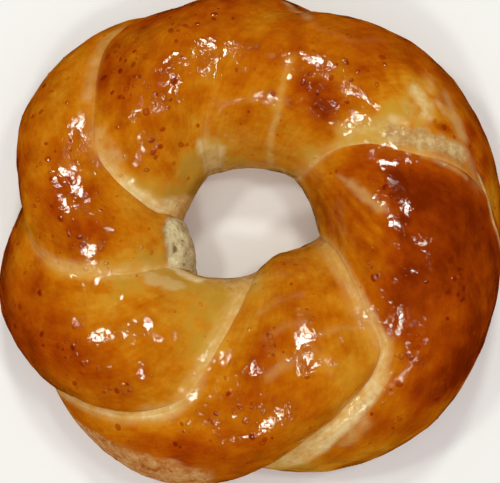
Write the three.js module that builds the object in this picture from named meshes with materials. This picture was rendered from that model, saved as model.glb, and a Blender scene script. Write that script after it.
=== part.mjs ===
// A plain ring bun: two ropes of soft dough are twisted round each other, closed into a ring and baked
// into one piece. Millimetres, +Z up. The origin is on the table, under the middle of the bun.
//
// The skin is one closed grid. Its columns follow the twist, so that every groove between the two ropes
// is a column, and its rows go round the section of the ring.
import * as THREE from "three";

// Driving dimensions of the ring.
const OUTER_RADIUS = 62.5; // ring centre to the crest of a rope, on the outside
const HOLE_RADIUS = 15; // hole centre to the crest of a rope, on the inside
const HOLE_OFFSET = new THREE.Vector2(0.7, 5.6); // the hole is off the ring's centre
const CROWN_HEIGHT = 38; // table to the crest of a rope, on the top
const WAIST_HEIGHT = 15.5; // where the section is widest
const BELLY_DEPTH = 22; // what the round section would reach below its waist, without the table
const FOOT_ROUNDING = 2; // height over which the flat foot turns into the round side

// The six grooves between the ropes, in order round the ring. "path" follows the groove over the top: at
// each section angle, from 0 on the outside over 90 on the crown to 180 on the inside, it gives the ring
// angle, in degrees. "depth" is how deep the groove is on the outside, the crown and the inside, as a
// share of the section's radius.
const GROOVES = [
  {
    path: [[0, 113], [26, 125.5], [65, 140], [91, 155.5], [116, 165], [146, 175], [180, 178]],
    depth: [0.07, 0.19, 0.06],
  },
  {
    path: [[0, 169], [32, 175], [50, 184.5], [79, 193.5], [102, 199.5], [147, 209], [180, 220]],
    depth: [0.3, 0.18, 0.15],
  },
  {
    path: [[0, 213], [30, 223.5], [56, 239], [78, 249], [107, 254], [140, 263], [180, 277]],
    depth: [0.12, 0.2, 0.02],
  },
  {
    path: [[0, 271], [44, 284.5], [62, 299.5], [68, 308.5], [78, 316.5], [105, 323], [150, 342], [180, 350]],
    depth: [0.29, 0.2, 0.16],
  },
  {
    path: [[0, 355], [40, 373], [66, 380.5], [84, 385], [106, 395], [127, 401.5], [180, 408]],
    depth: [0.1, 0.17, 0.05],
  },
  {
    path: [[0, 431], [22, 436.5], [64, 451], [107, 467.5], [150, 487], [180, 493]],
    depth: [0.23, 0.07, 0.05],
  },
];
const LOBES_PER_TURN = 2; // a groove that goes once round the section comes up this many lobes further on
const UNDERSIDE_DEPTH = 0.08; // groove depth underneath, where the dough has settled on the table
const GROOVE_ROUNDING = 0.1; // softness of the groove's bottom, as a share of a rope's half width
const LEAN = 0.35; // how far a rope leans over the groove ahead of it outside, and over the one behind inside

// The crest of the rope that follows each groove: how far it has swollen out, into the hole and up, in
// millimetres beyond the driving dimensions, near the rope's start and near its end.
const CRESTS = [
  { out: [4.1, 1.2], in: [-1.8, -1.2], up: [-1, -0.7] },
  { out: [1.3, -0.1], in: [-1.6, 2.3], up: [-0.2, 0] },
  { out: [0.3, -1.9], in: [5.2, 4.4], up: [0, 0.4] },
  { out: [-0.7, -0.9], in: [0.3, 0.5], up: [1.2, 1.4] },
  { out: [1.8, 1.7], in: [1.2, 0.8], up: [0.3, 0] },
  { out: [2.2, -0.8], in: [-1.1, -1.5], up: [0.4, 0.2] },
];
const CRESTS_PER_ROPE = 2;
const FIRST_CREST = 0.25; // where on its rope the first one is

// The grid of the skin.
const COLUMNS_PER_LOBE = 24;
const ROWS = 34;

const LOBES = GROOVES.length;
const COLUMNS = LOBES * COLUMNS_PER_LOBE;
const HALF_TURN = 180;
const FULL_TURN = 360;

const wrap = (index, count) => ((index % count) + count) % count;
const smoothstep = (share) => share * share * (3 - 2 * share);

// A Catmull-Rom curve through evenly spaced values, read at a place that may lie between two of them.
function smoothThrough(valueAt, place) {
  const index = Math.floor(place);
  const t = place - index;
  const [a, b, c, d] = [-1, 0, 1, 2].map((step) => valueAt(index + step));
  return (
    b +
    0.5 *
      t *
      (c - a + t * (2 * a - 5 * b + 4 * c - d + t * (3 * (b - c) + d - a)))
  );
}

// A groove's path over the top. Groove numbers past the last go on round the ring.
function pathOf(groove) {
  const turns = Math.floor(groove / LOBES);
  const { path } = GROOVES[wrap(groove, LOBES)];
  return path.map(([section, ring]) => [section, ring + FULL_TURN * turns]);
}

// The smooth rising curve through points, read at x. Its slope at a point is the harmonic mean of the
// slopes beside it, so that it never turns back.
function risingCurve(points, x) {
  const slope = (i) =>
    (points[i + 1][1] - points[i][1]) / (points[i + 1][0] - points[i][0]);
  const tangent = (i) => {
    const before = slope(Math.max(i - 1, 0));
    const after = slope(Math.min(i, points.length - 2));
    return before * after > 0 ? (2 * before * after) / (before + after) : 0;
  };
  let i = 0;
  while (i < points.length - 2 && x > points[i + 1][0]) i++;
  const width = points[i + 1][0] - points[i][0];
  const t = (x - points[i][0]) / width;
  return (
    points[i][1] * (1 + 2 * t) * (1 - t) ** 2 +
    tangent(i) * width * t * (1 - t) ** 2 +
    points[i + 1][1] * t * t * (3 - 2 * t) +
    tangent(i + 1) * width * t * t * (t - 1)
  );
}

// The ring angle of a groove at a section angle. From the inside it goes straight on underneath, to where
// the groove two lobes further on starts.
function grooveAngle(groove, sectionAngle) {
  const here = pathOf(groove);
  const next = pathOf(groove + LOBES_PER_TURN);
  const beyond = next.map(([section, ring]) => [section + FULL_TURN, ring]);
  return risingCurve([...here, ...beyond], sectionAngle);
}

// The depth of a groove at a section angle: outside, crown and inside as listed, and shallow underneath.
function grooveDepth(groove, sectionAngle) {
  const quarters = sectionAngle / (HALF_TURN / 2);
  const depthAt = (quarter) => {
    const turn = Math.floor(quarter / 4);
    const { depth } = GROOVES[wrap(groove + turn * LOBES_PER_TURN, LOBES)];
    return [...depth, UNDERSIDE_DEPTH][quarter - turn * 4];
  };
  return smoothThrough(depthAt, quarters);
}

// How far the crests reach beyond the driving dimensions at a place between the grooves.
function crestReach(key, lobePlace, sectionAngle) {
  const valueAt = (index) => {
    const lobe = Math.floor(index / CRESTS_PER_ROPE);
    return CRESTS[wrap(lobe, LOBES)][key][wrap(index, CRESTS_PER_ROPE)];
  };
  const reachAt = (place) =>
    smoothThrough(valueAt, (place - FIRST_CREST) * CRESTS_PER_ROPE);
  const over = reachAt(lobePlace);
  if (sectionAngle <= HALF_TURN) return over;
  const under = reachAt(lobePlace + LOBES_PER_TURN);
  const share = smoothstep(sectionAngle / HALF_TURN - 1);
  return over + (under - over) * share;
}

// The section's radius at a place, as a share of its radius at a crest: a rounded V at every groove, with
// one steep side and one gentle side wherever the ropes lean.
function sectionRadius(lobePlace, sectionAngle) {
  const lobe = Math.floor(lobePlace);
  const across = Math.cos(THREE.MathUtils.degToRad(sectionAngle));
  const share = (lobePlace - lobe) ** (2 ** (LEAN * across));
  const depth = grooveDepth(share < 0.5 ? lobe : lobe + 1, sectionAngle);
  const soft = (height) => Math.hypot(height, GROOVE_ROUNDING);
  const rise = Math.sin(Math.PI * share);
  return 1 - (depth * (soft(1) - soft(rise))) / (soft(1) - soft(0));
}

// Height above the table, with the part that would be below it pressed flat.
function settled(height) {
  if (height <= -FOOT_ROUNDING) return 0;
  if (height >= FOOT_ROUNDING) return height;
  return (height + FOOT_ROUNDING) ** 2 / (4 * FOOT_ROUNDING);
}

// The point of the skin at a place between the grooves and an angle round the section, which starts on
// the outside and goes up over the crown.
function skinPoint(lobePlace, sectionAngle) {
  const lobe = Math.floor(lobePlace);
  const ringAngle = THREE.MathUtils.degToRad(
    THREE.MathUtils.lerp(
      grooveAngle(lobe, sectionAngle),
      grooveAngle(lobe + 1, sectionAngle),
      lobePlace - lobe,
    ),
  );
  const reach = (key) => crestReach(key, lobePlace, sectionAngle);
  const spoke = new THREE.Vector2(Math.cos(ringAngle), Math.sin(ringAngle));
  const outer = spoke.clone().multiplyScalar(OUTER_RADIUS + reach("out"));
  const inner = spoke
    .clone()
    .multiplyScalar(HOLE_RADIUS - reach("in"))
    .add(HOLE_OFFSET);

  const radius = sectionRadius(lobePlace, sectionAngle);
  const phi = THREE.MathUtils.degToRad(sectionAngle);
  const across = 0.5 + 0.5 * radius * Math.cos(phi);
  const rise = radius * Math.sin(phi);
  const dome = CROWN_HEIGHT + reach("up") - WAIST_HEIGHT;
  const height = WAIST_HEIGHT + rise * (rise > 0 ? dome : BELLY_DEPTH);
  const plan = inner.lerp(outer, across);
  return new THREE.Vector3(plan.x, plan.y, settled(height));
}

function bunGeometry() {
  const positions = [];
  for (let row = 0; row < ROWS; row++)
    for (let column = 0; column < COLUMNS; column++)
      positions.push(
        ...skinPoint(column / COLUMNS_PER_LOBE, (FULL_TURN * row) / ROWS),
      );

  // The last row closes onto the first, two lobes further round.
  const vertex = (row, column) =>
    row < ROWS
      ? row * COLUMNS + wrap(column, COLUMNS)
      : wrap(column + LOBES_PER_TURN * COLUMNS_PER_LOBE, COLUMNS);
  const triangles = [];
  for (let row = 0; row < ROWS; row++)
    for (let column = 0; column < COLUMNS; column++) {
      const a = vertex(row, column);
      const b = vertex(row, column + 1);
      const c = vertex(row + 1, column + 1);
      const d = vertex(row + 1, column);
      triangles.push(a, b, d, b, c, d);
    }

  const geometry = new THREE.BufferGeometry();
  geometry.setAttribute(
    "position",
    new THREE.Float32BufferAttribute(positions, 3),
  );
  geometry.setIndex(triangles);
  geometry.computeBoundingBox();
  const middle = geometry.boundingBox.getCenter(new THREE.Vector3());
  geometry.translate(-middle.x, -middle.y, 0);
  geometry.computeVertexNormals();
  return geometry;
}

// Egg-washed crust.
const crust = new THREE.MeshStandardMaterial({
  color: 0xb5620f,
  roughness: 0.35,
  metalness: 0,
});

const bun = new THREE.Mesh(bunGeometry(), crust);
bun.name = "bun";

const group = new THREE.Group();
group.add(bun);

export default group;
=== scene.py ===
"""A plain ring bun: two ropes of soft dough twisted round each other, egg-washed and baked.

Sizes are millimetres and degrees, and become metres only when a mesh is made. A place on the skin is given
by two numbers. "place" counts the grooves between the ropes round the ring, so that 2.5 is halfway from
groove 2 to groove 3. "section" is the angle round the ring's section: 0 outside, 90 on the crown, 180 in
the hole, 270 underneath.
"""

import math

import bpy
import numpy as np
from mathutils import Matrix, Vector, noise


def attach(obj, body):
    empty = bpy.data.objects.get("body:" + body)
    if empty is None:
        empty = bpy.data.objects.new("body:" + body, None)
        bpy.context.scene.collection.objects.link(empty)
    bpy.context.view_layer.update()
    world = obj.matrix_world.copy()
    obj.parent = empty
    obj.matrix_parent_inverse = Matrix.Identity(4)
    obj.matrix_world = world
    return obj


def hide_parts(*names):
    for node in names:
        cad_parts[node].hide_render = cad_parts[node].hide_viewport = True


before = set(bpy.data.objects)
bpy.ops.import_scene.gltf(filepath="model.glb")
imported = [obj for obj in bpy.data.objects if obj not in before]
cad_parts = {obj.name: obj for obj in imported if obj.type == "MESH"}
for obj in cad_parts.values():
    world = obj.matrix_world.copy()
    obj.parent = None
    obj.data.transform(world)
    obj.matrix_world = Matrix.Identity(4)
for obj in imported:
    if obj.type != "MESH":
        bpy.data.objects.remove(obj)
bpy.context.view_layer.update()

MM = 0.001
TINY = 1e-9  # keeps what is divided by away from 0

# The ring, as in the CAD model.
OUTER_RADIUS = 62.5  # to the crest of a rope, outside
HOLE_RADIUS = 15  # to the crest of a rope, in the hole
HOLE_OFFSET = np.array([0.7, 5.6])
CROWN_HEIGHT = 38  # to the crest of a rope, on the top
WAIST_HEIGHT = 15.5  # where the section is widest
BELLY_DEPTH = 22  # how far the round section would reach below its waist, without the table
FOOT_ROUNDING = 2  # height over which the flat foot turns into the side
# Each groove's path over the top: its ring angle, by section angle.
GROOVE_PATHS = [
    [(0, 113), (26, 125.5), (65, 140), (91, 155.5), (116, 165), (146, 175), (180, 178)],
    [(0, 169), (32, 175), (50, 184.5), (79, 193.5), (102, 199.5), (147, 209), (180, 220)],
    [(0, 213), (30, 223.5), (56, 239), (78, 249), (107, 254), (140, 263), (180, 277)],
    [(0, 271), (44, 284.5), (62, 299.5), (68, 308.5), (78, 316.5), (105, 323), (150, 342), (180, 350)],
    [(0, 355), (40, 373), (66, 380.5), (84, 385), (106, 395), (127, 401.5), (180, 408)],
    [(0, 431), (22, 436.5), (64, 451), (107, 467.5), (150, 487), (180, 493)],
]
# How deep each groove is outside, on the crown and inside, as a share of the section's radius.
OVER_DEPTHS = [
    (0.07, 0.19, 0.06), (0.3, 0.18, 0.15), (0.12, 0.2, 0.02),
    (0.29, 0.2, 0.16), (0.1, 0.17, 0.05), (0.23, 0.07, 0.05),
]
UNDERSIDE_DEPTH = 0.08  # the same, underneath
GROOVE_DEPTHS = np.array([[*depths, UNDERSIDE_DEPTH] for depths in OVER_DEPTHS])
# The crest of the rope after each groove: how far it has swollen out, into the hole and up, near the rope's
# start and near its end.
CRESTS_OUT = np.array([4.1, 1.2, 1.3, -0.1, 0.3, -1.9, -0.7, -0.9, 1.8, 1.7, 2.2, -0.8])
CRESTS_IN = np.array([-1.8, -1.2, -1.6, 2.3, 5.2, 4.4, 0.3, 0.5, 1.2, 0.8, -1.1, -1.5])
CRESTS_UP = np.array([-1, -0.7, -0.2, 0, 0, 0.4, 1.2, 1.4, 0.3, 0, 0.4, 0.2])
CRESTS_PER_ROPE = 2
FIRST_CREST = 0.25  # where on its rope the first one is
LOBES = len(GROOVE_PATHS)
LOBES_PER_TURN = 2  # a groove that goes once round the section comes up this many lobes further on
GROOVE_ROUNDING = 0.1  # softness of the groove's bottom, as a share of a rope's half width
LEAN = 0.35  # how far a rope leans over the groove ahead outside, and over the one behind inside
CAD_COLUMNS_PER_LOBE = 24
CAD_ROWS = 34

# The fine grid of the skin.
COLUMNS_PER_LOBE = 108
ROWS = 152
FIRST_SECTION = -90  # the rows start and end underneath
COLUMN_CROWDING = 0.6  # how much closer the columns stand at the grooves
ROW_CROWDING = 0.45  # how much closer the rows stand on the crown
MM_PER_PLACE = 42  # roughly
MM_PER_DEGREE = 0.38  # roughly

# What each groove looks like, by section angle along it. "before" it is the rope that ends there, and
# "after" it the one that starts there.
FILLS = [  # how much dough softens its bottom
    [(-60, 0), (0, 0.2), (70, 0.5), (110, 0.6), (180, 0.4)],
    [(-60, 0), (0, 0.3), (60, 0.5), (180, 0.5)],
    [(-60, 0), (0, 0.3), (60, 0.6), (85, 0.9), (120, 0.6), (180, 0.3)],
    [(-60, 0), (0, 0.3), (60, 0.6), (90, 0.8), (130, 0.5), (180, 0.3)],
    [(-60, 0), (20, 0.4), (45, 0.9), (62, 1.5), (92, 1.4), (120, 0.7), (180, 0.4)],
    [(-60, 0)],
]
ROLLS = {  # how far the edge of the rope stands over the other one
    "before": [
        [(-60, 0.5), (0, 1.1), (60, 1.2), (80, 0.6), (100, 0.2), (120, 0)],
        [(-60, 0)],
        [(-60, 0.5), (0, 1.2), (50, 1.2), (66, 0.6), (80, 0), (200, 0)],
        [(-60, 0.5), (0, 1), (55, 1.3), (70, 0.8), (82, 0.3), (95, 0)],
        [(-60, 0.3), (20, 0.7), (42, 0.5), (58, 0.15), (90, 0.1), (120, 0.25), (150, 0.5), (200, 0.3)],
        [(-60, 0)],
    ],
    "after": [
        [(80, 0), (100, 0.4), (140, 0.7), (180, 0.6), (240, 0.4)],
        [(-60, 0.4), (0, 0.8), (50, 0.5), (90, 0.3), (140, 0.3), (180, 0.4), (240, 0.3)],
        [(85, 0), (105, 0.3), (140, 0.7), (180, 0.6), (240, 0.4)],
        [(92, 0), (115, 0.3), (140, 0.6), (180, 0.7), (240, 0.4)],
        [(-60, 0)],
        [(-60, 0.2), (20, 0.3), (60, 0), (130, 0), (160, 0.4), (200, 0.3)],
    ],
}
BANDS = {  # how wide and how strong the pale stretched dough beside it is
    "before": [
        [(72, 0, 0), (88, 2.2, 0.55), (110, 2.4, 0.9), (140, 3.6, 1), (160, 5.6, 1), (200, 7, 0.85)],
        [
            (-40, 0.7, 0.2), (20, 1.2, 0.3), (50, 2.4, 0.28), (80, 2.8, 0.5), (130, 2.2, 0.6),
            (150, 1.2, 0.4),
        ],
        [(60, 0, 0), (75, 2, 0.5), (95, 3, 0.62), (130, 3.2, 0.8), (160, 4, 0.85), (200, 5, 0.8)],
        [(62, 0, 0), (80, 1.4, 0.45), (100, 2.6, 0.5), (130, 2.6, 0.6), (160, 2, 0.6), (190, 2, 0.6)],
        [(110, 0, 0), (140, 0.8, 0.5), (180, 1.4, 0.7)],
        [(112, 0, 0), (140, 1.4, 0.5), (180, 2.2, 0.7)],
    ],
    "after": [
        [(50, 0, 0), (80, 2, 0.25), (110, 0, 0)],
        [(40, 0, 0), (70, 1, 0.4), (130, 1.2, 0.4), (160, 2.4, 0.6), (185, 4.5, 0.7)],
        [(-20, 2.2, 0.35), (20, 2.3, 0.8), (50, 2.6, 0.9), (64, 2.9, 0.8), (78, 1.8, 0.6), (98, 0.3, 0.3)],
        [
            (-20, 3, 0.4), (20, 5, 0.85), (45, 6.2, 1), (60, 5.2, 1), (74, 2.8, 0.85), (95, 1.8, 0.75),
            (125, 1.4, 0.7),
        ],
        [(30, 0, 0), (60, 1.2, 0.5), (80, 1.4, 0.5), (100, 2, 0.45), (130, 1.6, 0.5), (180, 2, 0.5)],
        [(120, 0, 0), (145, 1.2, 0.5), (180, 2, 0.7)],
    ],
}
BAND_SOFTNESS = {  # how far it takes to fade
    "before": [2.2, 3, 3.4, 4.5, 2, 3],
    "after": [4, 2.5, 2.6, 2, 4, 2.6],
}
GOLD = {  # how much lighter the crust beside it is, and how far that reaches
    "before": [(0.3, 6), (0.3, 6), (0.35, 11), (0.25, 6), (0.25, 5), (0.15, 9)],
    "after": [(0.1, 7), (0.25, 8), (0.3, 7), (0.35, 6), (0.3, 9), (0.15, 9)],
}
GROOVE_SAMPLES = np.arange(-150, 331, 1.5)  # section angles at which the way to a groove is measured
GROOVE_REACH = 80  # how many degrees from a point its nearest spot on a groove may be
POINTS_AT_ONCE = 4096  # to spare memory
ROLL_RADIUS = 5.5  # how far back from the groove the rolled edge reaches
SHELF_WIDTH = 6.5  # how far the rope underneath is pressed down beside the groove
SHELF_FALLOFF = 1.5
CREST_GAP = 3.0  # how far back from the groove the rolled edge stands highest
OVERHANG_SHARE = 0.4  # how far a rolled edge leans out over the groove, as a share of its height
OVERHANG_GAP = 0.8  # how far back from the groove it leans out most
FILL_WIDTH = 2.4
WANDER_SIZE = 7  # size of the lumps in which the bands and the lighter crust vary
BAND_WANDER = 0.25
GOLD_WANDER = 0.4
GOLD_SECTIONS = (-20, 40)  # the lighter crust sets in between these
LEAST_BAND = 0.05  # a narrower one doesn't show
STREAK_WIDTH = 0.7  # of the streaks in a band, which run along the groove
STREAK_LENGTH = 9
STREAK_CONTRAST = 0.35
STREAK_MEAN = 0.3

# How brown each rope's crust is, from 0, olive gold, to 1, deep brown, just after the groove where it
# starts and just before the one where it ends: outside, on the shoulder, on the crown, inside, and down in
# the hole.
BROWNING_SECTIONS = (0, 50, 95, 150, 195)
BROWNING = np.array(
    [
        [[0.52, 0.5, 0.54, 0.44, 0.3], [0.6, 0.72, 0.62, 0.34, 0.1]],
        [[0.82, 0.68, 0.42, 0.2, 0.05], [0.86, 0.8, 0.48, 0.18, 0]],
        [[0.66, 0.64, 0.58, 0.44, 0.25], [0.66, 0.6, 0.44, 0.48, 0.3]],
        [[0.22, 0.6, 0.88, 0.58, 0.3], [0.86, 0.97, 0.95, 0.6, 0.3]],
        [[0.72, 0.6, 0.56, 0.4, 0.1], [0.68, 0.63, 0.6, 0.38, 0]],
        [[0.74, 0.7, 0.62, 0.36, 0], [0.76, 0.8, 0.62, 0.22, 0]],
    ]
)
PATCH_CONTRAST = (1.2, 0.5)  # how strong the broad patches are on olive gold and on deep brown crust

# Marks on the crust, each along a path of (place, section) points: how strong it is, its half width, how
# far it takes to fade, and, for some, how far it stands out of the skin.

# Where the glaze is missing and the dough is rough.
BALD_MARKS = [
    ([(4.1, 88), (4.08, 76), (4.08, 62), (4.08, 50)], 0.85, 2.4, 2.6),
    ([(3.12, 60), (3.1, 47), (3.08, 38)], 0.4, 1.2, 2, 0.2),
    ([(1.42, 160), (1.7, 162), (1.95, 162)], 0.65, 1.6, 4),
]
# Pale dough: round the rough patch, between and along the ropes, and the lip under the crumb; and on the
# hole's top wall, partly painted light.
PALE_MARKS = [
    ([(4.09, 50), (4.06, 43), (4, 40)], 0.35, 1.6, 3.4),
    ([(4.31, 61), (4.26, 60), (4.21, 62)], 0.85, 1.6, 2.8, 0.1),
    ([(4.28, 50), (4.24, 50)], 0.6, 0.8, 2, 0.1),
    ([(4.24, 68), (4.2, 72)], 0.35, 1.4, 4),
    ([(4.17, 84), (4.15, 78)], 0.85, 1.2, 3),
    ([(4.11, 110), (4.12, 96), (4.15, 86)], 0.5, 1.8, 4.4),
    ([(4.4, 44), (4.34, 50)], 0.35, 1, 3),
    ([(4, 77), (3.985, 65), (3.98, 51)], 0.45, 0.5, 1.4),
    ([(4.05, 38), (4, 34), (3.95, 28), (3.96, 16)], 0.9, 0.4, 0.9, 0.2),
    ([(2.2, 125), (2.38, 128), (2.6, 126)], 0.16, 0.6, 2),
    ([(2.68, 103), (2.82, 101), (2.95, 94)], 0.22, 0.6, 2),
    ([(2.6, 101), (2.66, 92), (2.7, 82)], 0.14, 0.5, 1.6),
    ([(1.25, 156), (1.5, 156), (1.9, 156)], 0.85, 2.6, 7),
    ([(4.31, 174), (4.36, 160)], 0.65, 0.9, 2.2, -0.2),
    ([(4.38, 156), (4.46, 135), (4.49, 124)], 0.45, 0.5, 1.4, -0.2),
    ([(4.49, 124), (4.61, 104), (4.7, 87)], 0.3, 0.5, 1.4, -0.1),
    ([(5.06, 137), (5.03, 154), (4.97, 180)], 0.85, 0.6, 2.4),
    ([(4.86, 147), (4.88, 160), (4.93, 180)], 0.75, 0.5, 2.2),
    ([(4.95, 160), (4.95, 182)], 0.7, 2, 3.4),
    ([(4.97, 145), (4.95, 170)], 0.5, 2, 4),
    ([(5.97, 84), (5.92, 98)], 0.5, 2, 4),
    # the hole's top wall: partly paler, less baked dough, and partly painted light that lifts the shade on
    # this steep wall
    ([(4.1, 174), (4.5, 175), (4.86, 178)], 0.55, 2.4, 5),
    ([(3.17, 46), (3.15, 36)], 0.5, 1.2, 3),
    ([(6.04, 14), (6.03, 34), (6.03, 46), (6.04, 60)], 0.4, 1.3, 3.2),
    ([(0.97, 150), (1.06, 150), (1.18, 150), (1.3, 149)], 1, 2, 1.2, 0.5),
]
# Streaks where the glaze has stretched, and its edges; and one streak of painted sheen along the outer edge
# of the top rope.
PINK_AND_SHEEN_MARKS = [
    ([(4.34, 40), (4.28, 42)], 0.4, 1.1, 1.8),
    ([(4.23, 43), (4.17, 42)], 0.5, 1.5, 1.8),
    ([(3.78, 134), (3.7, 129)], 0.4, 0.6, 1.6),
    ([(3.69, 128), (3.6, 120), (3.56, 112)], 0.46, 1.2, 1.8),
    ([(2.35, 91), (2.44, 95), (2.53, 96)], 0.27, 0.9, 2),
    ([(2.3, 110), (2.44, 113), (2.58, 112)], 0.16, 0.6, 2),
    ([(1.99, 58), (2.03, 67)], 0.33, 1.6, 2.2),
    ([(1.11, 127), (1.17, 130), (1.25, 134)], 0.8, 2.1, 1),
    ([(4.98, 34), (4.84, 54), (4.74, 62), (4.6, 62), (4.59, 48)], 0.06, 0.6, 1.8),
    # painted sheen: the pinkish light where the glaze on the top rope's outer edge is seen at a grazing
    # angle
    ([(5.12, 20), (5.02, 30), (4.92, 42), (4.84, 52)], 0.42, 0.9, 1.8),
]
# Lighter (below 0) and browner parts. The lighter one on the hole's top wall is painted light.
BROWN_MARKS = [
    ([(4.34, 62), (4.24, 58), (4.14, 70)], -0.4, 3.4, 7),
    ([(4.1, 112), (4.13, 92), (4.2, 80)], -0.35, 3.2, 6),
    ([(4.17, 64), (4.16, 53)], 0.36, 1, 2),
    ([(3.77, 146), (3.54, 138), (3.39, 129), (3.3, 117)], -0.17, 0.6, 1.8),
    ([(3.68, 155), (3.35, 148), (3.15, 135)], -0.15, 0.6, 1.8),
    ([(3.79, 139), (3.57, 131), (3.45, 121), (3.4, 111)], -0.17, 0.5, 1.6),
    ([(3.72, 151), (3.45, 143), (3.3, 133)], -0.13, 0.5, 1.6),
    ([(3.66, 142), (3.45, 133), (3.34, 121)], 0.07, 0.8, 2),
    ([(3.62, 149), (3.35, 140), (3.2, 125)], 0.07, 0.8, 2),
    ([(4.36, 160), (4.46, 135), (4.61, 104), (4.7, 87)], -0.22, 1.1, 3),
    ([(4.97, 144), (4.95, 170)], -0.45, 2.6, 4),
    ([(5.93, 22), (5.93, 62)], 0.2, 1.6, 3),
    ([(4.5, 100), (4.36, 104)], 0.22, 4, 6),
    ([(4.45, 78), (4.36, 84)], 0.18, 2, 3.4),
    ([(2.3, 112), (2.26, 96)], 0.16, 3, 5),
    ([(0.5, 78), (0.74, 86)], 0.14, 5, 6),
    ([(3.82, 99), (3.76, 99)], 0.25, 1.6, 3),
    ([(1.5, 62), (1.75, 66)], 0.12, 5, 7),
    ([(2.72, 92), (2.8, 76)], -0.14, 3, 6),
    ([(2.22, 42), (2.45, 50)], 0.18, 3, 6),
    ([(0.3, 50), (0.5, 56)], -0.16, 4, 7),
    ([(4.07, 43), (4.03, 38)], 0.3, 1.6, 4),
    ([(4.22, 34), (4.12, 39), (4.04, 40)], 0.3, 2, 5),
    # painted light: lifts the shade on the hole's steep top wall
    ([(4.74, 171), (4.85, 172)], -0.25, 3, 6),
    ([(5.6, 42), (5.8, 50)], -0.12, 4, 7),
    ([(3.4, 42), (3.55, 32)], 0.22, 5, 8),
    ([(1.15, 48), (1.3, 34)], 0.15, 4, 7),
    ([(0.88, 104), (0.89, 138)], -0.18, 2, 4),
    ([(0.62, 57), (0.9, 50)], -0.16, 3, 6),
    ([(0.28, 92), (0.34, 72)], 0.15, 3, 6),
    ([(1.3, 26), (1.36, 34)], -0.2, 2.5, 5),
    ([(1.1, 69), (1.07, 86), (1.08, 98)], 0.2, 1.6, 3),
    ([(2.7, 128), (2.9, 122)], 0.1, 3, 6),
    ([(3.7, 114), (3.4, 116), (3.27, 110)], -0.2, 4, 7),
    ([(3.07, 80), (3.25, 64)], 0.14, 2, 5),
    ([(3.23, 152), (3.08, 134)], 0.16, 2.5, 5),
    ([(3.8, 38), (3.7, 38)], -0.18, 3, 6),
    ([(4.15, 27), (4.05, 33)], 0.26, 2, 5),
    ([(4.28, 112), (4.2, 108), (4.14, 122)], 0.26, 3, 6),
    ([(4.38, 84), (4.3, 76), (4.21, 84)], -0.15, 2.5, 5),
    ([(4.29, 34), (4.27, 38)], -0.2, 2, 4),
    ([(4.79, 123), (4.54, 141)], 0.15, 2.5, 6),
    ([(5.17, 72), (4.95, 76)], 0.1, 3, 6),
    ([(5.34, 143), (5, 158)], -0.3, 2.5, 5),
    ([(5.75, 136), (5.53, 156)], -0.15, 2.5, 5),
    ([(5.88, 30), (5.66, 46), (5.53, 57)], -0.14, 3, 6),
    ([(5.72, 58), (5.62, 68)], -0.16, 2.5, 5),
    ([(5.86, 66), (5.86, 70)], -0.14, 2, 5),
    ([(5.9, 88), (5.72, 102)], -0.26, 2.5, 5),
]
# Darker (below 0) and lighter parts of what is pale, bald or crumb; the darkest two are painted shade in
# small pits.
TONE_MARKS = [
    ([(4.06, 66), (4.08, 54)], 0.05, 1.8, 3),
    ([(3.12, 60), (3.1, 47), (3.08, 38)], 0.2, 1.6, 3),
    ([(5.03, 140), (4.94, 170), (4.88, 146)], 0.22, 2, 3),
    ([(5.98, 118), (5.97, 136), (5.92, 160)], 0.16, 2.4, 3),
    ([(0.13, 152), (0.5, 163), (0.82, 157)], 0.1, 1.2, 2.4, 0.3),
    ([(0.2, 176), (0.75, 182)], -0.1, 2, 3),
    ([(0.03, 156), (0.12, 160)], -0.12, 1.2, 2),
    # two small pits in the crumb, pressed in and darkened with painted shade
    ([(0.7, 152), (0.73, 153)], -0.5, 0.35, 0.8, -0.4),
    ([(0.5, 158), (0.52, 159)], -0.5, 0.3, 0.8, -0.3),
    ([(4.31, 60), (4.21, 62)], 0.15, 1.6, 2.8),
    ([(0.97, 150), (1.06, 150), (1.18, 150), (1.3, 149)], 0.7, 2, 1.6),
]
# How marks of a kind come together, and the marks.
MARKS = {
    "bald": (np.maximum, BALD_MARKS),
    "pale": (np.maximum, PALE_MARKS),
    "pink": (np.maximum, PINK_AND_SHEEN_MARKS),
    "brown": (np.add, BROWN_MARKS),
    "tone": (np.add, TONE_MARKS),
}
PATH_STEPS = 12  # from one point of a path to the next
MARK_WANDER = 0.4  # how much the width of a mark varies, as a share of it
MARK_WANDER_SIZE = 3
FADE_SHARE = 0.3  # how much of a mark's fading edge counts as its width

# The torn end in the hole, where rough crumb shows under the edge of the crust: the section angle of that
# edge, by place, and how far the crumb bulges into the hole.
CRUMB_EDGE = [(0, 158), (0.12, 147), (0.35, 141), (0.6, 140), (0.8, 142), (1, 148)]
CRUMB_EDGE_SOFT = 5
CRUMB_FADES = (215, 230)  # it fades between these
CRUMB_ENDS = (0.08, 0.06)  # over this much of the rope it sets in and fades
CRUMB_BULGE = [(0, 0), (0.3, 0.2), (0.6, 0.6), (0.85, 0.9), (1, 0.6)]
BULGE_SECTION = 182
BULGE_SPREAD = 22
LEDGE = 0.6  # how far the crust stands over it
LEDGE_SECTION = 4  # beyond the edge
LEDGE_SPREAD = 7

HOLE_PALENESS = 0.7  # how pale the dough is down in the hole, where little heat reached it
PALE_FROM = (166, 192)  # it sets in between these
PALE_TO = (212, 234)  # and fades between these
FREE_HEIGHT = 4  # the relief is full from this height on, and the foot is flat

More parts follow.
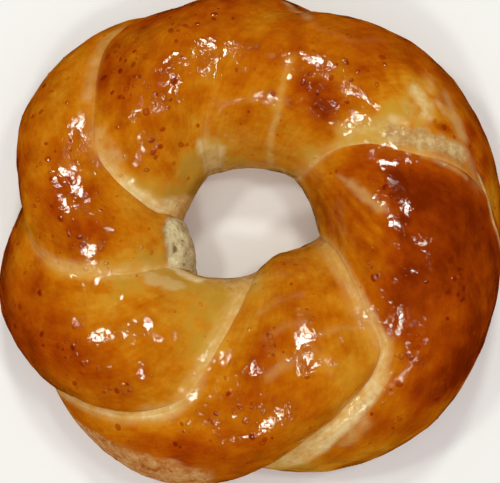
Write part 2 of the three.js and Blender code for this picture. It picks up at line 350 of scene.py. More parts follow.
# Where the brush stopped: the section angle of the glaze's edge outside, by place, and in the hole.
GLAZE_EDGE = [
    (0, -22), (0.9, -26), (1.7, -20), (1.95, -12), (2.12, 5), (2.25, 30), (2.4, 38), (2.6, 39), (2.78, 12),
    (3.1, -18), (3.9, -22), (4.35, -16), (4.6, 10), (4.8, 16), (5.05, 10), (5.2, -14), (6, -22),
]
GLAZE_EDGE_SOFT = 7
HOLE_GLAZE_EDGE = 198
HOLE_GLAZE_EDGE_SOFT = 14
THIN_WASH = 0.03  # how much the egg wash mirrors where it lies thin
WASH_COVER = 0.48  # its mean thickness
# How much of the glaze is missing on crumb, on a bald patch, and on the pale dough beside a groove.
DRY_CRUMB, DRY_BALD, DRY_BAND = 0.9, 0.7, 0.8

# Layers of noise: the size of each one's lumps in millimetres, its strength and its seed.
SWELL = [(13, 0.4, 4), (6, 0.1, 13), (4, 0.06, 5)]
BROWN_PATCHES = [(11, 0.16, 2), (4, 0.14, 3)]
WASH_PATCHES = [(6, 3, 12)]
CRUMB_ROUGHNESS = [(2.4, 0.2, 8)]
RAGGED_CRUMB_EDGE = [(2.5, 1.5, 7)]
RAGGED_GLAZE_EDGE = [(6, 5, 9)]
RAGGED_PALE_EDGE = [(9, 8, 14)]
NOISE_OCTAVES = 3
NOISE_FALLOFF = 0.9  # how much weaker each octave is
NOISE_STEP = 2.0  # how much finer each octave is
SEED_DISTANCE = 17.3  # how far apart two seeds are in the noise

# The blisters: lone ones all over, and clusters by place, section, spread in millimetres and number.
BLISTER_SEED = 11
LONE_BLISTERS = 300
LONE_BLISTER_RADIUS = (0.25, 0.7)
CLUSTER_BLISTER_RADIUS = (0.35, 1.0)
BLISTER_SECTIONS = (-8, 168)
BLISTER_CLUSTERS = [
    (0.55, 70, 3, 12), (0.75, 95, 3, 8), (0.3, 30, 4, 10), (1.5, 60, 4, 16), (1.3, 40, 4, 10),
    (1.75, 62, 3, 12), (2.2, 70, 3, 10), (2.5, 60, 4, 12), (2.35, 108, 1.4, 9), (2.2, 40, 4, 12),
    (2.32, 76, 1.4, 7), (3.2, 64, 1.8, 16), (3.3, 40, 3, 8), (3.58, 62, 2.4, 16), (3.53, 30, 2.5, 10),
    (3.15, 112, 1, 4), (3.72, 101, 1.6, 12), (4.4, 95, 4, 12), (4.6, 70, 4, 10), (4.18, 57, 0.8, 3),
    (5.3, 60, 4, 14), (5.7, 75, 4, 16), (5.85, 50, 2.5, 12), (5.4, 100, 4, 14), (5.6, 120, 4, 10),
    (2.35, 16, 4, 14),
]
BLISTER_CLEARANCE = 1.0  # how far a blister stays from a groove
NO_BLISTERS_FROM = 133  # the section angle from which the torn rope has none, as there is crumb
DISC_RINGS = 6
DISC_SEGMENTS = 16
BLISTER_HEIGHT = 0.19  # as a share of its radius
BLISTER_ROUNDNESS = 1.3
BLISTER_FOOT = 0.04  # how far its rim goes into the skin
BLISTER_WOBBLE = 0.15  # how far from round its outline is
BLISTER_BROWNING = (-0.1, 0.35)  # how much browner than the crust round it a blister is
BROWNING_RISE = 1.6  # how fast that sets in from its rim
RING_AT = 0.68  # where a blister is darkest, as a share of its radius
RING_WIDTH = 0.3
RING_STRENGTH = (0.1, 0.7)
FULL_RING = 0.8  # a blister with a smaller radius has a fainter ring


def smoothstep(share):
    share = np.clip(share, 0, 1)
    return share * share * (3 - 2 * share)


def rise_between(x, start, end):
    """0 up to start, 1 from end on, and smooth between them."""
    return smoothstep((x - start) / (end - start))


def soft_step(x, width):
    """0 below zero and 1 above it, changing over that width."""
    return smoothstep(x / width + 0.5)


def bell(x, width):
    """1 at zero, and less on both sides of it."""
    return np.exp(-((x / width) ** 2))


def hump(x, peak):
    """Rises from 0 at zero to 1 at the peak, and fades beyond it."""
    return (x / peak) * np.exp(1 - x / peak)


def lerp(a, b, share):
    return a + (b - a) * share


def curve_at(knots, x, column=1):
    return np.interp(x, [knot[0] for knot in knots], [knot[column] for knot in knots])


def smooth_through(value_at, place):
    """A Catmull-Rom curve through evenly spaced values, read at any places."""
    index = np.floor(place).astype(int)
    t = place - index
    a, b, c, d = (value_at(index + step) for step in (-1, 0, 1, 2))
    return b + 0.5 * t * (c - a + t * (2 * a - 5 * b + 4 * c - d + t * (3 * (b - c) + d - a)))


def rising_curve(points, x):
    """The smooth rising curve through points, read at x. It never turns back."""
    xs, ys = np.array(points, float).T
    slopes = np.diff(ys) / np.diff(xs)
    before = slopes[[0, *range(len(slopes))]]
    after = slopes[[*range(len(slopes)), -1]]
    tangents = 2 * before * after / (before + after)
    i = np.clip(np.searchsorted(xs, x) - 1, 0, len(slopes) - 1)
    width = xs[i + 1] - xs[i]
    t = (x - xs[i]) / width
    return (
        ys[i] * (1 + 2 * t) * (1 - t) ** 2
        + tangents[i] * width * t * (1 - t) ** 2
        + ys[i + 1] * t * t * (3 - 2 * t)
        + tangents[i + 1] * width * t * t * (t - 1)
    )


def noise_at(points, size, seed, octaves=NOISE_OCTAVES):
    """Noise of about -1 to 1 at points, with lumps of that size in millimetres."""
    flat = (points.reshape(-1, 3) / size + SEED_DISTANCE * seed).tolist()
    values = [noise.fractal(Vector(point), NOISE_FALLOFF, NOISE_STEP, octaves) for point in flat]
    return np.array(values).reshape(points.shape[:-1])


def layered_noise(points, layers):
    return sum(strength * noise_at(points, size, seed) for size, strength, seed in layers)


# The smooth skin, as in the CAD model.
def long_path(groove):
    """A groove's path over the top, with where it comes from and goes on to underneath."""
    points = []
    for turn in (-1, 0, 1):
        rounds, index = divmod(groove + turn * LOBES_PER_TURN, LOBES)
        points += [(section + 360 * turn, ring + 360 * rounds) for section, ring in GROOVE_PATHS[index]]
    return points


def groove_angle(groove, section):
    """The ring angle of each groove number at each section angle."""
    angle = np.empty(section.shape)
    for number in np.unique(groove):
        here = groove == number
        angle[here] = rising_curve(long_path(int(number)), section[here])
    return angle


def groove_depth(groove, section):
    """How deep each groove is at each section angle, as a share of the section's radius."""

    def depth_at(quarter):
        return GROOVE_DEPTHS[(groove + quarter // 4 * LOBES_PER_TURN) % LOBES, quarter % 4]

    return smooth_through(depth_at, section / 90)


def crest_reach(crests, place, section):
    """How far the crests reach beyond the ring's own sizes. Underneath, the next rope's take over."""

    def reach_at(spot):
        crest = (spot - FIRST_CREST) * CRESTS_PER_ROPE
        return smooth_through(lambda index: crests[index % len(crests)], crest)

    turned = np.where(section < 0, -LOBES_PER_TURN, 0)
    share = smoothstep(np.where(section < 0, section / 180 + 1, section / 180 - 1))
    return lerp(reach_at(place + turned), reach_at(place + turned + LOBES_PER_TURN), share)


def section_radius(place, section):
    """The section's radius as a share of its radius at a crest."""
    lobe = np.floor(place).astype(int)
    share = (place - lobe) ** (2 ** (LEAN * np.cos(np.radians(section))))
    depth = groove_depth(np.where(share < 0.5, lobe, lobe + 1), section)
    rise = np.sin(np.pi * share)
    full, none = math.hypot(1, GROOVE_ROUNDING), GROOVE_ROUNDING
    return 1 - depth * (full - np.hypot(rise, GROOVE_ROUNDING)) / (full - none)


def ring_skin(place, section):
    """The smooth skin, before it is moved to the middle."""
    lobe = np.floor(place).astype(int)
    angle = np.radians(lerp(groove_angle(lobe, section), groove_angle(lobe + 1, section), place - lobe))
    spoke = np.stack([np.cos(angle), np.sin(angle)], -1)
    outer = spoke * (OUTER_RADIUS + crest_reach(CRESTS_OUT, place, section))[..., None]
    inner = spoke * (HOLE_RADIUS - crest_reach(CRESTS_IN, place, section))[..., None] + HOLE_OFFSET

    radius = section_radius(place, section)
    across = 0.5 + 0.5 * radius * np.cos(np.radians(section))
    rise = radius * np.sin(np.radians(section))
    dome = CROWN_HEIGHT + crest_reach(CRESTS_UP, place, section) - WAIST_HEIGHT
    height = WAIST_HEIGHT + rise * np.where(rise > 0, dome, BELLY_DEPTH)
    pressed = (np.maximum(height, -FOOT_ROUNDING) + FOOT_ROUNDING) ** 2 / (4 * FOOT_ROUNDING)
    height = np.where(height < FOOT_ROUNDING, pressed, height)
    return np.concatenate([lerp(inner, outer, across[..., None]), height[..., None]], -1)


def cad_middle():
    """What the CAD model was moved by, to put its box's middle over the origin."""
    section, place = np.meshgrid(
        np.arange(CAD_ROWS) * 360 / CAD_ROWS,
        np.arange(LOBES * CAD_COLUMNS_PER_LOBE) / CAD_COLUMNS_PER_LOBE,
        indexing="ij",
    )
    points = ring_skin(place, section).reshape(-1, 3)
    middle = (points.min(0) + points.max(0)) / 2
    middle[2] = 0
    return middle


MIDDLE = cad_middle()


def base_point(place, section):
    return ring_skin(place, section) - MIDDLE


def base_frame(place, section):
    """Points of the smooth skin, its normals, and its steps for one place and one degree."""
    place_step, section_step = 0.01, 0.5
    along_place = base_point(place + place_step, section) - base_point(place - place_step, section)
    along_section = base_point(place, section + section_step) - base_point(place, section - section_step)
    normal = np.cross(along_place, along_section)
    normal /= np.linalg.norm(normal, axis=-1, keepdims=True) + TINY
    steps = along_place / (2 * place_step), along_section / (2 * section_step)
    return base_point(place, section), normal, *steps


# What the real skin has beyond the smooth one.
def nearest_samples(points, section, line):
    """Which point of a groove's line is nearest to each point, among those at about its own section."""
    nearest = np.empty(len(points), int)
    for start in range(0, len(points), POINTS_AT_ONCE):
        part = slice(start, start + POINTS_AT_ONCE)
        gaps = ((points[part, None] - line) ** 2).sum(-1)
        far = np.abs(GROOVE_SAMPLES - section[part, None]) > GROOVE_REACH
        nearest[part] = np.where(far, np.inf, gaps).argmin(1)
    return nearest


def beside_groove(points, lobe, section, step):
    """How far the groove behind (step 0) or ahead of (step 1) each point's rope is, which way, and at which
    section angle of the groove."""
    away = np.empty(points.shape)
    spot = np.empty(section.shape)
    for number in np.unique(lobe):
        here = lobe == number
        line = base_point(np.full(GROOVE_SAMPLES.shape, float(number + step)), GROOVE_SAMPLES)
        mine = points[here]
        low = np.clip(nearest_samples(mine, section[here], line) - 1, 0, len(line) - 3)
        a, b = line[low], line[low + 2]
        share = np.clip(((mine - a) * (b - a)).sum(-1) / ((b - a) ** 2).sum(-1), 0, 1)
        away[here] = mine - lerp(a, b, share[:, None])
        spot[here] = lerp(GROOVE_SAMPLES[low], GROOVE_SAMPLES[low + 2], share)
    distance = np.linalg.norm(away, axis=-1)
    return distance, away / (distance[..., None] + TINY), spot


def edge_lift(gap, roll, under):
    """How far the skin beside a groove moves along its normal: up where its own edge rolls over the other
    rope, and down where it lies under the other one's."""
    depth = np.maximum(roll, under)
    on_top = np.where(depth > 0, roll / np.maximum(depth, TINY), 0)
    rounded = 1 - np.sqrt(1 - (1 - np.clip(gap / ROLL_RADIUS, 0, 1)) ** 2)
    shelf = (1 - smoothstep(gap / SHELF_WIDTH)) ** SHELF_FALLOFF
    return depth * lerp(-0.5 * shelf, 0.5 * (hump(gap, CREST_GAP) - rounded), on_top)


def pale_band(gap, angle, groove, side, wander):
    """How pale the stretched dough beside a groove is, with streaks along it."""
    across, along = gap / STREAK_WIDTH, angle * MM_PER_DEGREE / STREAK_LENGTH
    streaks = noise_at(np.stack([across, along, np.full(gap.shape, groove)], -1), 1, seed=10)
    width = curve_at(BANDS[side][groove], angle) * (1 + BAND_WANDER * wander)
    strength = curve_at(BANDS[side][groove], angle, 2) * (1 + STREAK_CONTRAST * (streaks - STREAK_MEAN))
    band = np.clip(strength, 0, 1) * soft_step(width - gap, BAND_SOFTNESS[side][groove])
    return np.where(width > LEAST_BAND, band, 0)


def crease_effects(points, place, section):
    """Beside the grooves: how far the skin moves along its normal and along itself, how pale it is, and how
    golden."""
    lobe = np.floor(place).astype(int)
    lift, pale, gold = (np.zeros(section.shape) for _ in range(3))
    shift = np.zeros(points.shape)
    wander = noise_at(points, WANDER_SIZE, seed=1, octaves=2)
    for step, side, other in ((0, "after", "before"), (1, "before", "after")):
        distance, away, spot = beside_groove(points, lobe, section, step)
        for groove in range(LOBES):
            here = (lobe + step) % LOBES == groove
            gap, angle = distance[here], spot[here]
            roll = curve_at(ROLLS[side][groove], angle)
            lift[here] += edge_lift(gap, roll, curve_at(ROLLS[other][groove], angle))
            lift[here] += curve_at(FILLS[groove], angle) * bell(gap, FILL_WIDTH)
            lean = roll * OVERHANG_SHARE * hump(gap, OVERHANG_GAP) / (1 + gap)
            shift[here] -= away[here] * lean[:, None]
            pale[here] = np.maximum(pale[here], pale_band(gap, angle, groove, side, wander[here]))
            lighter, reach = GOLD[side][groove]
            over_the_top = rise_between(angle, *GOLD_SECTIONS)
            gold[here] += lighter * over_the_top * (1 + GOLD_WANDER * wander[here]) * bell(gap, reach)
    return lift, shift, pale, gold


def near_path(points, path):
    """How far each point is from a path on the skin."""
    spots = np.array(path, float)
    numbers = np.arange(len(spots))
    steps = np.linspace(0, numbers[-1], PATH_STEPS * numbers[-1] + 1)
    line = base_point(*(np.interp(steps, numbers, spots[:, axis]) for axis in (0, 1)))
    gap = np.full(points.shape[:-1], np.inf)
    for a, b in zip(line[:-1], line[1:]):
        share = np.clip(((points - a) @ (b - a)) / ((b - a) @ (b - a)), 0, 1)
        gap = np.minimum(gap, np.linalg.norm(points - lerp(a, b, share[..., None]), axis=-1))
    return gap


def marked(points):
    """What the marks add up to, and how far they lift the skin."""
    made = {key: np.zeros(points.shape[:-1]) for key in (*MARKS, "lift")}
    wander = noise_at(points, MARK_WANDER_SIZE, seed=6)
    for key, (combine, marks) in MARKS.items():
        for path, amount, half_width, soft, *lift in marks:
            gap = near_path(points, path)
            full_width = half_width + FADE_SHARE * soft
            width = half_width + MARK_WANDER * full_width * wander
            made[key] = combine(made[key], amount * soft_step(width - gap, soft))
            made["lift"] += sum(lift) * bell(gap, full_width)
    return made


def browning(points, place, section):
    """How brown the crust is, from 0 to 1: each rope's own tone, and broad patches."""
    lobe = np.floor(place).astype(int)
    rope = lobe % LOBES
    stops = np.array(BROWNING_SECTIONS, float)
    angle = np.clip(section, stops[0], stops[-1])
    index = np.clip(np.searchsorted(stops, angle) - 1, 0, len(stops) - 2)
    along = rise_between(angle, stops[index], stops[index + 1])
    start, end = (lerp(BROWNING[rope, i, index], BROWNING[rope, i, index + 1], along) for i in (0, 1))
    tone = lerp(start, end, smoothstep(place - lobe))
    return tone + layered_noise(points, BROWN_PATCHES) * lerp(*PATCH_CONTRAST, tone)


def crumb_share(points, place, section):
    """Where the torn end's crumb shows, and how far it moves the skin."""
    edge = curve_at(CRUMB_EDGE, place)
    ragged = layered_noise(points, RAGGED_CRUMB_EDGE)
    shows = np.where((place > 0) & (place < 1), rise_between(section - edge - ragged, 0, CRUMB_EDGE_SOFT), 0)
    shows *= 1 - rise_between(section, *CRUMB_FADES)
    shows *= smoothstep(place / CRUMB_ENDS[0]) * smoothstep((1 - place) / CRUMB_ENDS[1])
    bulge = curve_at(CRUMB_BULGE, place) * bell(section - BULGE_SECTION, BULGE_SPREAD)
    ledge = LEDGE * bell(section - edge - LEDGE_SECTION, LEDGE_SPREAD)
    return shows, shows * (bulge - ledge + layered_noise(points, CRUMB_ROUGHNESS))


def glaze_share(points, place, section):
    """1 where the glaze was brushed on, 0 below its edge outside and down in the hole."""
    ragged = layered_noise(points, RAGGED_GLAZE_EDGE)
    outside = soft_step(section - curve_at(GLAZE_EDGE, place % LOBES) - ragged, GLAZE_EDGE_SOFT)
    return outside * (1 - soft_step(section - HOLE_GLAZE_EDGE - ragged, HOLE_GLAZE_EDGE_SOFT))


def hole_paleness(points, section):
    """How pale the dough is down in the hole. Underneath, where it lay on the tray, it is brown again."""
    ragged = layered_noise(points, RAGGED_PALE_EDGE)
    brown_again = rise_between(section - ragged, *PALE_TO)
    return HOLE_PALENESS * rise_between(section, *PALE_FROM) * (1 - brown_again)


def wash_thickness(points):
    """How thick the egg wash lies, from thin to full, in patches."""
    return lerp(THIN_WASH, 1, smoothstep(WASH_COVER + layered_noise(points, WASH_PATCHES)))


def skin(place, section):
    """The finished skin: its points in millimetres and what its material needs to know."""
    base, normal, _, _ = base_frame(place, section)
    lift, shift, pale, gold = crease_effects(base, place, section)
    marks = marked(base)
    crumb, crumb_lift = crumb_share(base, place, section)
    glaze = glaze_share(base, place, section)
    free = smoothstep(base[..., 2] / FREE_HEIGHT)
    lift = (lift + layered_noise(base, SWELL) + marks["lift"] + crumb_lift) * free
    points = base + normal * lift[..., None] + shift * free[..., None]
    points[..., 2] = np.maximum(points[..., 2], 0)
    return {
        "points": points,
        "brown": np.clip(browning(base, place, section) - gold + marks["brown"], 0, 1),
        "pale": np.maximum.reduce([pale, marks["pale"], hole_paleness(base, section)]),
        "pink": marks["pink"],
        "bald": marks["bald"],
        "tone": marks["tone"],
        "crumb": crumb,
        "glaze": glaze * (1 - DRY_CRUMB * crumb) * (1 - DRY_BALD * marks["bald"]),
        "wash": wash_thickness(base) * (1 - DRY_BAND * pale),
    }


# The meshes.
def add_object(name, data):
    made = bpy.data.objects.new(name, data)
    bpy.context.scene.collection.objects.link(made)
    return made


def mesh_object(name, points, faces, attributes, uv):
    """A smooth-shaded object, with attribute values for each point and a UV for each corner."""
    mesh = bpy.data.meshes.new(name)
    mesh.from_pydata((points.reshape(-1, 3) * MM).tolist(), [], faces.tolist())
    mesh.shade_smooth()
    for key, values in attributes.items():
        attribute = mesh.attributes.new(key, "FLOAT", "POINT")
        attribute.data.foreach_set("value", values.astype(np.float32).ravel())
    layer = mesh.uv_layers.new(name="rope")
    layer.data.foreach_set("uv", uv.astype(np.float32).ravel())
    return add_object(name, mesh)


def crowded(steps, count, crowding):
    """Steps from 0 to 1, closer together at the ends or, where the crowding is below 0, in the middle."""
    t = steps / count
    return t - crowding * np.sin(2 * np.pi * t) / (2 * np.pi)


def make_crust():
    column = np.arange(LOBES * COLUMNS_PER_LOBE)
    step = column % COLUMNS_PER_LOBE
    place = column // COLUMNS_PER_LOBE + crowded(step, COLUMNS_PER_LOBE, COLUMN_CROWDING)
    row = np.arange(ROWS)
    section = FIRST_SECTION + 360 * crowded(row, ROWS, -ROW_CROWDING)
    sections, places = np.meshgrid(section, place, indexing="ij")
    made = skin(places, sections)

    # The last row closes onto the first, two lobes further round.
    vertex = np.arange(places.size).reshape(places.shape)
    vertex = np.vstack([vertex, np.roll(vertex[0], -LOBES_PER_TURN * COLUMNS_PER_LOBE)])
    r, c = (grid.ravel() for grid in np.meshgrid(row, column, indexing="ij"))
    corners = [(r, c), (r, c + 1), (r + 1, c + 1), (r + 1, c)]
    faces = np.stack([vertex[down, along % len(column)] for down, along in corners], -1)
    edge_place = np.append(place, LOBES)
    edge_turn = np.append(section, FIRST_SECTION + 360) / 360
    uv = np.stack([np.stack([edge_place[along], edge_turn[down]], -1) for down, along in corners], 1)
    return mesh_object("crust", made.pop("points"), faces, made, uv)


def blister_spots(draw):
    """The place, section and radius of each blister: strewn about, and in a few clusters."""
    ranges = ((0, LOBES), BLISTER_SECTIONS, LONE_BLISTER_RADIUS)
    spots = [np.stack([draw.uniform(*limits, LONE_BLISTERS) for limits in ranges], -1)]
    for place, section, spread, count in BLISTER_CLUSTERS:
        offset = draw.normal(0, spread, (count, 2)) / (MM_PER_PLACE, MM_PER_DEGREE)
        radius = draw.uniform(*CLUSTER_BLISTER_RADIUS, (count, 1))
        spots.append(np.concatenate([offset + (place, section), radius], -1))
    spots = np.concatenate(spots)
    place, section, radius = spots.T
    margin = (radius + BLISTER_CLEARANCE) / MM_PER_PLACE
    clear = (place % 1 > margin) & (place % 1 < 1 - margin)
    on_crumb = (place < 1) & (section > NO_BLISTERS_FROM)
    return spots[clear & ~on_crumb]


def disc_layout():
    """A flat disc: each vertex's share of the radius, its turn, and the triangles."""
    shares = np.append(0, np.repeat(np.arange(1, DISC_RINGS + 1) / DISC_RINGS, DISC_SEGMENTS))
    turns = np.append(0, np.tile(np.arange(DISC_SEGMENTS) * 2 * np.pi / DISC_SEGMENTS, DISC_RINGS))
    triangles = []
    for k in range(DISC_SEGMENTS):
        after = (k + 1) % DISC_SEGMENTS
        triangles.append((0, 1 + k, 1 + after))
        for ring in range(DISC_RINGS - 1):
            near, far = 1 + ring * DISC_SEGMENTS, 1 + (ring + 1) * DISC_SEGMENTS
            triangles += [(near + k, far + k, far + after), (near + k, far + after, near + after)]
    return shares, turns, np.array(triangles)


def spread_on_skin(place, section, out, turns):
    """Places and sections of points that lie so far out from each spot, at these turns round it."""
    # Steps of one millimetre on the skin: "up" changes the section only, and "side" is square to it.
    _, _, along_place, along_section = base_frame(place, section)
    up = 1 / np.linalg.norm(along_section, axis=-1)
    up_way = along_section * up[:, None]
    slant = (along_place * up_way).sum(-1)
    side = 1 / np.linalg.norm(along_place - up_way * slant[:, None], axis=-1)
    across = out * np.sin(turns) * side[:, None]
    along = (out * np.cos(turns) - across * slant[:, None]) * up[:, None]
    return place[:, None] + across, section[:, None] + along


def make_blisters():
    """Small bubbles in the crust: low domes that stand on the finished skin."""
    draw = np.random.default_rng(BLISTER_SEED)
    place, section, radius = blister_spots(draw).T
    shares, turns, triangles = disc_layout()
    count = len(place)
    wobble = 1 + BLISTER_WOBBLE * np.sin(2 * turns + draw.uniform(0, 2 * np.pi, (count, 1)))
    places, sections = spread_on_skin(place, section, radius[:, None] * shares * wobble, turns)
    made = skin(places, sections)
    _, normal, _, _ = base_frame(places, sections)
    dome = BLISTER_HEIGHT * (1 - shares**2) ** BLISTER_ROUNDNESS
    height = radius[:, None] * dome - BLISTER_FOOT * shares**4
    points = made.pop("points") + normal * height[..., None]

    strength = draw.uniform(*RING_STRENGTH, (count, 1)) * np.minimum(radius[:, None] / FULL_RING, 1)
    made["ring"] = strength * bell(shares - RING_AT, RING_WIDTH)
    browner = draw.uniform(*BLISTER_BROWNING, (count, 1)) * smoothstep(BROWNING_RISE * (1 - shares))
    made["brown"] = np.clip(made["brown"] + browner, 0, 1)
    faces = (triangles[None] + len(shares) * np.arange(count)[:, None, None]).reshape(-1, 3)
    uv = np.stack([places.ravel(), sections.ravel() / 360], -1)[faces]
    return mesh_object("blisters", points, faces, made, uv)


# The materials.
def linear(red, green, blue):
    """A colour given as it looks on a screen, 0 to 255, as Blender wants it."""
    parts = [part / 255 for part in (red, green, blue)]
    return tuple(p / 12.92 if p <= 0.04045 else ((p + 0.055) / 1.055) ** 2.4 for p in parts) + (1,)


class Nodes:
    """A material's node tree, built up by calls that return output sockets."""

    def __init__(self, name):
        self.material = bpy.data.materials.new(name)
        self.material.use_nodes = True
        self.tree = self.material.node_tree
        self.tree.nodes.clear()

    def feed(self, socket, value):
        """Links a socket to the one given, or sets its value."""
        if isinstance(value, bpy.types.NodeSocket):
            self.tree.links.new(value, socket)
        else:
            socket.default_value = value

    def add(self, kind, inputs=None, **settings):
        node = self.tree.nodes.new("ShaderNode" + kind)
        for key, value in settings.items():
            setattr(node, key, value)
        for key, value in (inputs or {}).items():
            self.feed(node.inputs[key], value)
        return node

    def math(self, operation, a, b):
        return self.add("Math", {0: a, 1: b}, operation=operation).outputs[0]

    def line(self, value, start, slope):
        return self.math("ADD", start, self.math("MULTIPLY", value, slope))

    def swing(self, pattern, amount):
        """A pattern from 0 to 1 turned into one that goes both ways from zero."""
        return self.math("MULTIPLY", self.math("SUBTRACT", pattern, 0.5), amount)

    def mix(self, share, a, b):
        node = self.add("Mix", data_type="RGBA")
        for name, value in (("Factor", share), ("A", a), ("B", b)):
            self.feed(next(s for s in node.inputs if s.name == name and s.enabled), value)
        return next(s for s in node.outputs if s.enabled)

    def ramp(self, share, stops):
        node = self.add("ValToRGB", {"Fac": share})
        elements = node.color_ramp.elements
        while len(elements) < len(stops):
            elements.new(0.5)
        for element, (position, *colour) in zip(elements, stops):
            element.position = position
            element.color = linear(*colour)
        return node.outputs[0]

    def attribute(self, name):
        return self.add("Attribute", attribute_name=name).outputs["Fac"]

    def noise(self, vector, scale, detail, roughness):
        inputs = {"Vector": vector, "Scale": scale, "Detail": detail, "Roughness": roughness}
        return self.add("TexNoise", inputs).outputs["Fac"]

    def bump(self, height, relief, under=None):
        """The normals of a relief so many millimetres high, laid over the normals under it."""
        inputs = {"Height": height, "Distance": relief * MM, "Strength": 1.0}
        if under is not None:
            inputs["Normal"] = under
        return self.add("Bump", inputs).outputs["Normal"]

    def finish(self, shader):
        self.add("OutputMaterial", {"Surface": shader.outputs[0]})
        return self.material


# Colour ramps: each stop, and its red, green and blue.
CRUST_TONES = [
    (0.0, 194, 142, 48), (0.2, 202, 130, 30), (0.4, 192, 107, 10), (0.56, 178, 87, 5), (0.76, 158, 60, 3),
    (0.94, 124, 38, 2), (1.0, 112, 32, 1),
]
BARE_TONES = [(0.3, 166, 86, 26), (0.48, 188, 124, 68), (0.7, 206, 152, 98)]
PALE_TONES = [(0.3, 205, 149, 76), (0.5, 217, 169, 103), (0.75, 231, 199, 147)]
BALD_TONES = [(0.3, 170, 122, 70), (0.5, 186, 144, 94), (0.7, 208, 176, 128)]
CRUMB_TONES = [(0.22, 130, 108, 74), (0.42, 200, 177, 136), (0.7, 226, 208, 167)]
RING_COLOUR = linear(140, 42, 4)
# the pink of stretched glaze, and of the painted sheen on the top rope's outer edge
PINK_AND_SHEEN_COLOUR = linear(208, 168, 108)
FLOOR_COLOUR = linear(243, 236, 242)

# Noise patterns of the crust: how many lumps there are to a metre, detail and roughness.
PATTERNS = {
    "broad": (160, 3, 0.5),
    "medium": (420, 3, 0.6),
    "fine": (1100, 2, 0.6),
    "grain": (2000, 2, 0.6),
    "wrinkle": (650, 1, 0.4),
    "wave": (240, 1, 0.4),
}
# Stretched ones: how many lumps there are to a place and to a turn of the section, and detail.
STREAKS = {"rope": ((36, 14, 1), 3), "brush": ((7, 80, 1), 2)}
STREAK_ROUGHNESS = 0.6
# How much each pattern varies the browning. The lightest and the darkest crust vary less: by the lower one
# of two lines, each given by its value at brown 0 and its slope.
VARIETY = {"broad": 0.44, "medium": 0.33, "fine": 0.22, "rope": 0.3, "brush": 0.24}
LIGHT_END_LINE = (0.35, 2.2)
DARK_END_LINE = (1.2, -0.85)
FINE_MOTTLE = 0.5
STREAKY_MOTTLE = 0.4

# The fine relief, in millimetres.
CRUMB_RELIEF = 0.4
BALD_RELIEF_SHARE = 0.25  # a bald patch is this much as rough as crumb
GRAIN_RELIEF = 0.04
DOUGH_WRINKLES = 0.1
GLAZE_WRINKLES = 0.13
GLAZE_WAVES = 0.26


def crust_patterns(n):
    where = n.add("TexCoord").outputs["Object"]
    patterns = {name: n.noise(where, *values) for name, values in PATTERNS.items()}
    rope = n.add("UVMap", uv_map="rope").outputs["UV"]
    for name, (scale, detail) in STREAKS.items():
        stretched = n.add("Mapping", {"Vector": rope, "Scale": scale}).outputs[0]
        patterns[name] = n.noise(stretched, 1, detail, STREAK_ROUGHNESS)
    return patterns


def crust_colour(n, patterns):
    """The browned crust, and over it, one after the other, whatever else shows."""
    brown = n.attribute("brown")
    variety = 0.0
    for name, amount in VARIETY.items():
        variety = n.math("ADD", variety, n.swing(patterns[name], amount))
    left = n.math("MINIMUM", n.line(brown, *DARK_END_LINE), n.line(brown, *LIGHT_END_LINE))
    glazed = n.ramp(n.math("ADD", brown, n.math("MULTIPLY", variety, left)), CRUST_TONES)

    tone = n.attribute("tone")
    mottle = n.math("ADD", patterns["medium"], n.swing(patterns["fine"], FINE_MOTTLE))
    streaky = n.math("ADD", patterns["medium"], n.swing(patterns["rope"], STREAKY_MOTTLE))
    toned, streaky = n.math("ADD", mottle, tone), n.math("ADD", streaky, tone)
    colour = n.mix(n.attribute("glaze"), n.ramp(mottle, BARE_TONES), glazed)
    layers = {
        "pale": n.ramp(streaky, PALE_TONES),
        "pink": PINK_AND_SHEEN_COLOUR,
        "bald": n.ramp(toned, BALD_TONES),
        "crumb": n.ramp(toned, CRUMB_TONES),
        "ring": RING_COLOUR,
    }
    for name, layer in layers.items():
        colour = n.mix(n.attribute(name), colour, layer)
    return colour


def crust_normals(n, patterns):
    """The fine relief of the dough, and that of the glaze on it."""
    bald = n.math("MULTIPLY", n.attribute("bald"), BALD_RELIEF_SHARE)
    lumps = n.math("MULTIPLY", patterns["medium"], n.math("ADD", n.attribute("crumb"), bald))
    rough = n.bump(lumps, CRUMB_RELIEF)
    dough = n.bump(patterns["wrinkle"], DOUGH_WRINKLES, rough)
    glaze = n.bump(patterns["wrinkle"], GLAZE_WRINKLES, n.bump(patterns["wave"], GLAZE_WAVES, rough))
    return [n.bump(patterns["grain"], GRAIN_RELIEF, under) for under in (dough, glaze)]


def crust_material():
    n = Nodes("crust")
    patterns = crust_patterns(n)
    dough_normal, glaze_normal = crust_normals(n, patterns)
    shader = n.add(
        "BsdfPrincipled",
        {
            "Base Color": crust_colour(n, patterns),
            "Roughness": 0.5,
            "Specular IOR Level": 0.0,
            "Normal": dough_normal,
            "Coat Weight": n.math("MULTIPLY", n.attribute("glaze"), n.attribute("wash")),
            "Coat Roughness": 0.03,
            "Coat IOR": 1.65,
            "Coat Normal": glaze_normal,
        },
    )
    return n.finish(shader)


def floor_material():
    n = Nodes("floor")
    return n.finish(n.add("BsdfPrincipled", {"Base Color": FLOOR_COLOUR, "Roughness": 0.9}))


# The studio, in metres and degrees.
CAMERA_AZIMUTH = -90
CAMERA_ELEVATION = 84
CAMERA_DISTANCE = 0.42
CAMERA_TARGET = Vector((-0.0005, -0.00119, 0.014))
CAMERA_LENS = 122.9
FLOOR_REACH = 2
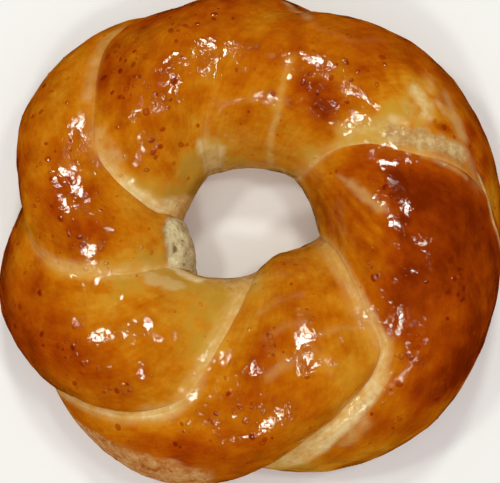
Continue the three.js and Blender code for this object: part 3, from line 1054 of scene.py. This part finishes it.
# The lamps that make the glints: their azimuth, elevation and power.
KEY_LIGHTS = {
    "key_back": (88, 61, 1.9),
    "key_left": (160, 66, 1.5),
    "key_right": (14, 74, 1.1),
    "key_front": (-100, 60, 1.4),
}
KEY_DISTANCE = 0.9
KEY_SIZE = 0.115
KEY_COLOUR = (0.9, 1, 0.84)  # so that the glints on the orange crust are cream, not pink
SOFT_LIGHT = {"location": (0.02, -0.35, 1.1), "size": 1.2, "power": 2.6}
LAMP_AIM = Vector((0, 0, 0.02))
WHITE = (1, 1, 1)
WORLD_STRENGTH = 0.3


def direction(azimuth, elevation):
    turn, rise = math.radians(azimuth), math.radians(elevation)
    return Vector((math.cos(turn) * math.cos(rise), math.sin(turn) * math.cos(rise), math.sin(rise)))


def make_camera():
    camera = bpy.data.cameras.new("camera")
    camera.lens = CAMERA_LENS
    camera.sensor_width = 36
    camera.clip_start = 0.01
    back = direction(CAMERA_AZIMUTH, CAMERA_ELEVATION)
    made = add_object("camera", camera)
    made.location = CAMERA_TARGET + back * CAMERA_DISTANCE
    made.rotation_euler = back.to_track_quat("Z", "Y").to_euler()
    bpy.context.scene.camera = made


def make_floor():
    corners = [(x * FLOOR_REACH, y * FLOOR_REACH, 0) for x, y in ((-1, -1), (1, -1), (1, 1), (-1, 1))]
    mesh = bpy.data.meshes.new("floor")
    mesh.from_pydata(corners, [], [(0, 1, 2, 3)])
    mesh.materials.append(floor_material())
    made = add_object("floor", mesh)
    made.visible_glossy = False


def area_light(name, location, size, power, colour=WHITE, mirrored=True):
    lamp = bpy.data.lights.new(name, "AREA")
    lamp.color = colour
    lamp.shape = "DISK"
    lamp.size = size
    lamp.energy = power
    made = add_object(name, lamp)
    made.location = location
    made.rotation_euler = (Vector(location) - LAMP_AIM).to_track_quat("Z", "Y").to_euler()
    made.visible_glossy = mirrored


def make_light():
    for name, (azimuth, elevation, power) in KEY_LIGHTS.items():
        area_light(name, direction(azimuth, elevation) * KEY_DISTANCE, KEY_SIZE, power, KEY_COLOUR)
    area_light("soft", **SOFT_LIGHT, mirrored=False)
    world = bpy.data.worlds.new("studio")
    world.use_nodes = True
    background = world.node_tree.nodes["Background"]
    background.inputs["Color"].default_value = (*WHITE, 1)
    background.inputs["Strength"].default_value = WORLD_STRENGTH
    world.cycles_visibility.glossy = False
    bpy.context.scene.world = world
    bpy.context.scene.view_settings.view_transform = "Standard"


material = crust_material()
for piece in (make_crust(), make_blisters()):
    piece.data.materials.append(material)
    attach(piece, "root")
    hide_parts("bun")

make_floor()
make_light()
make_camera()
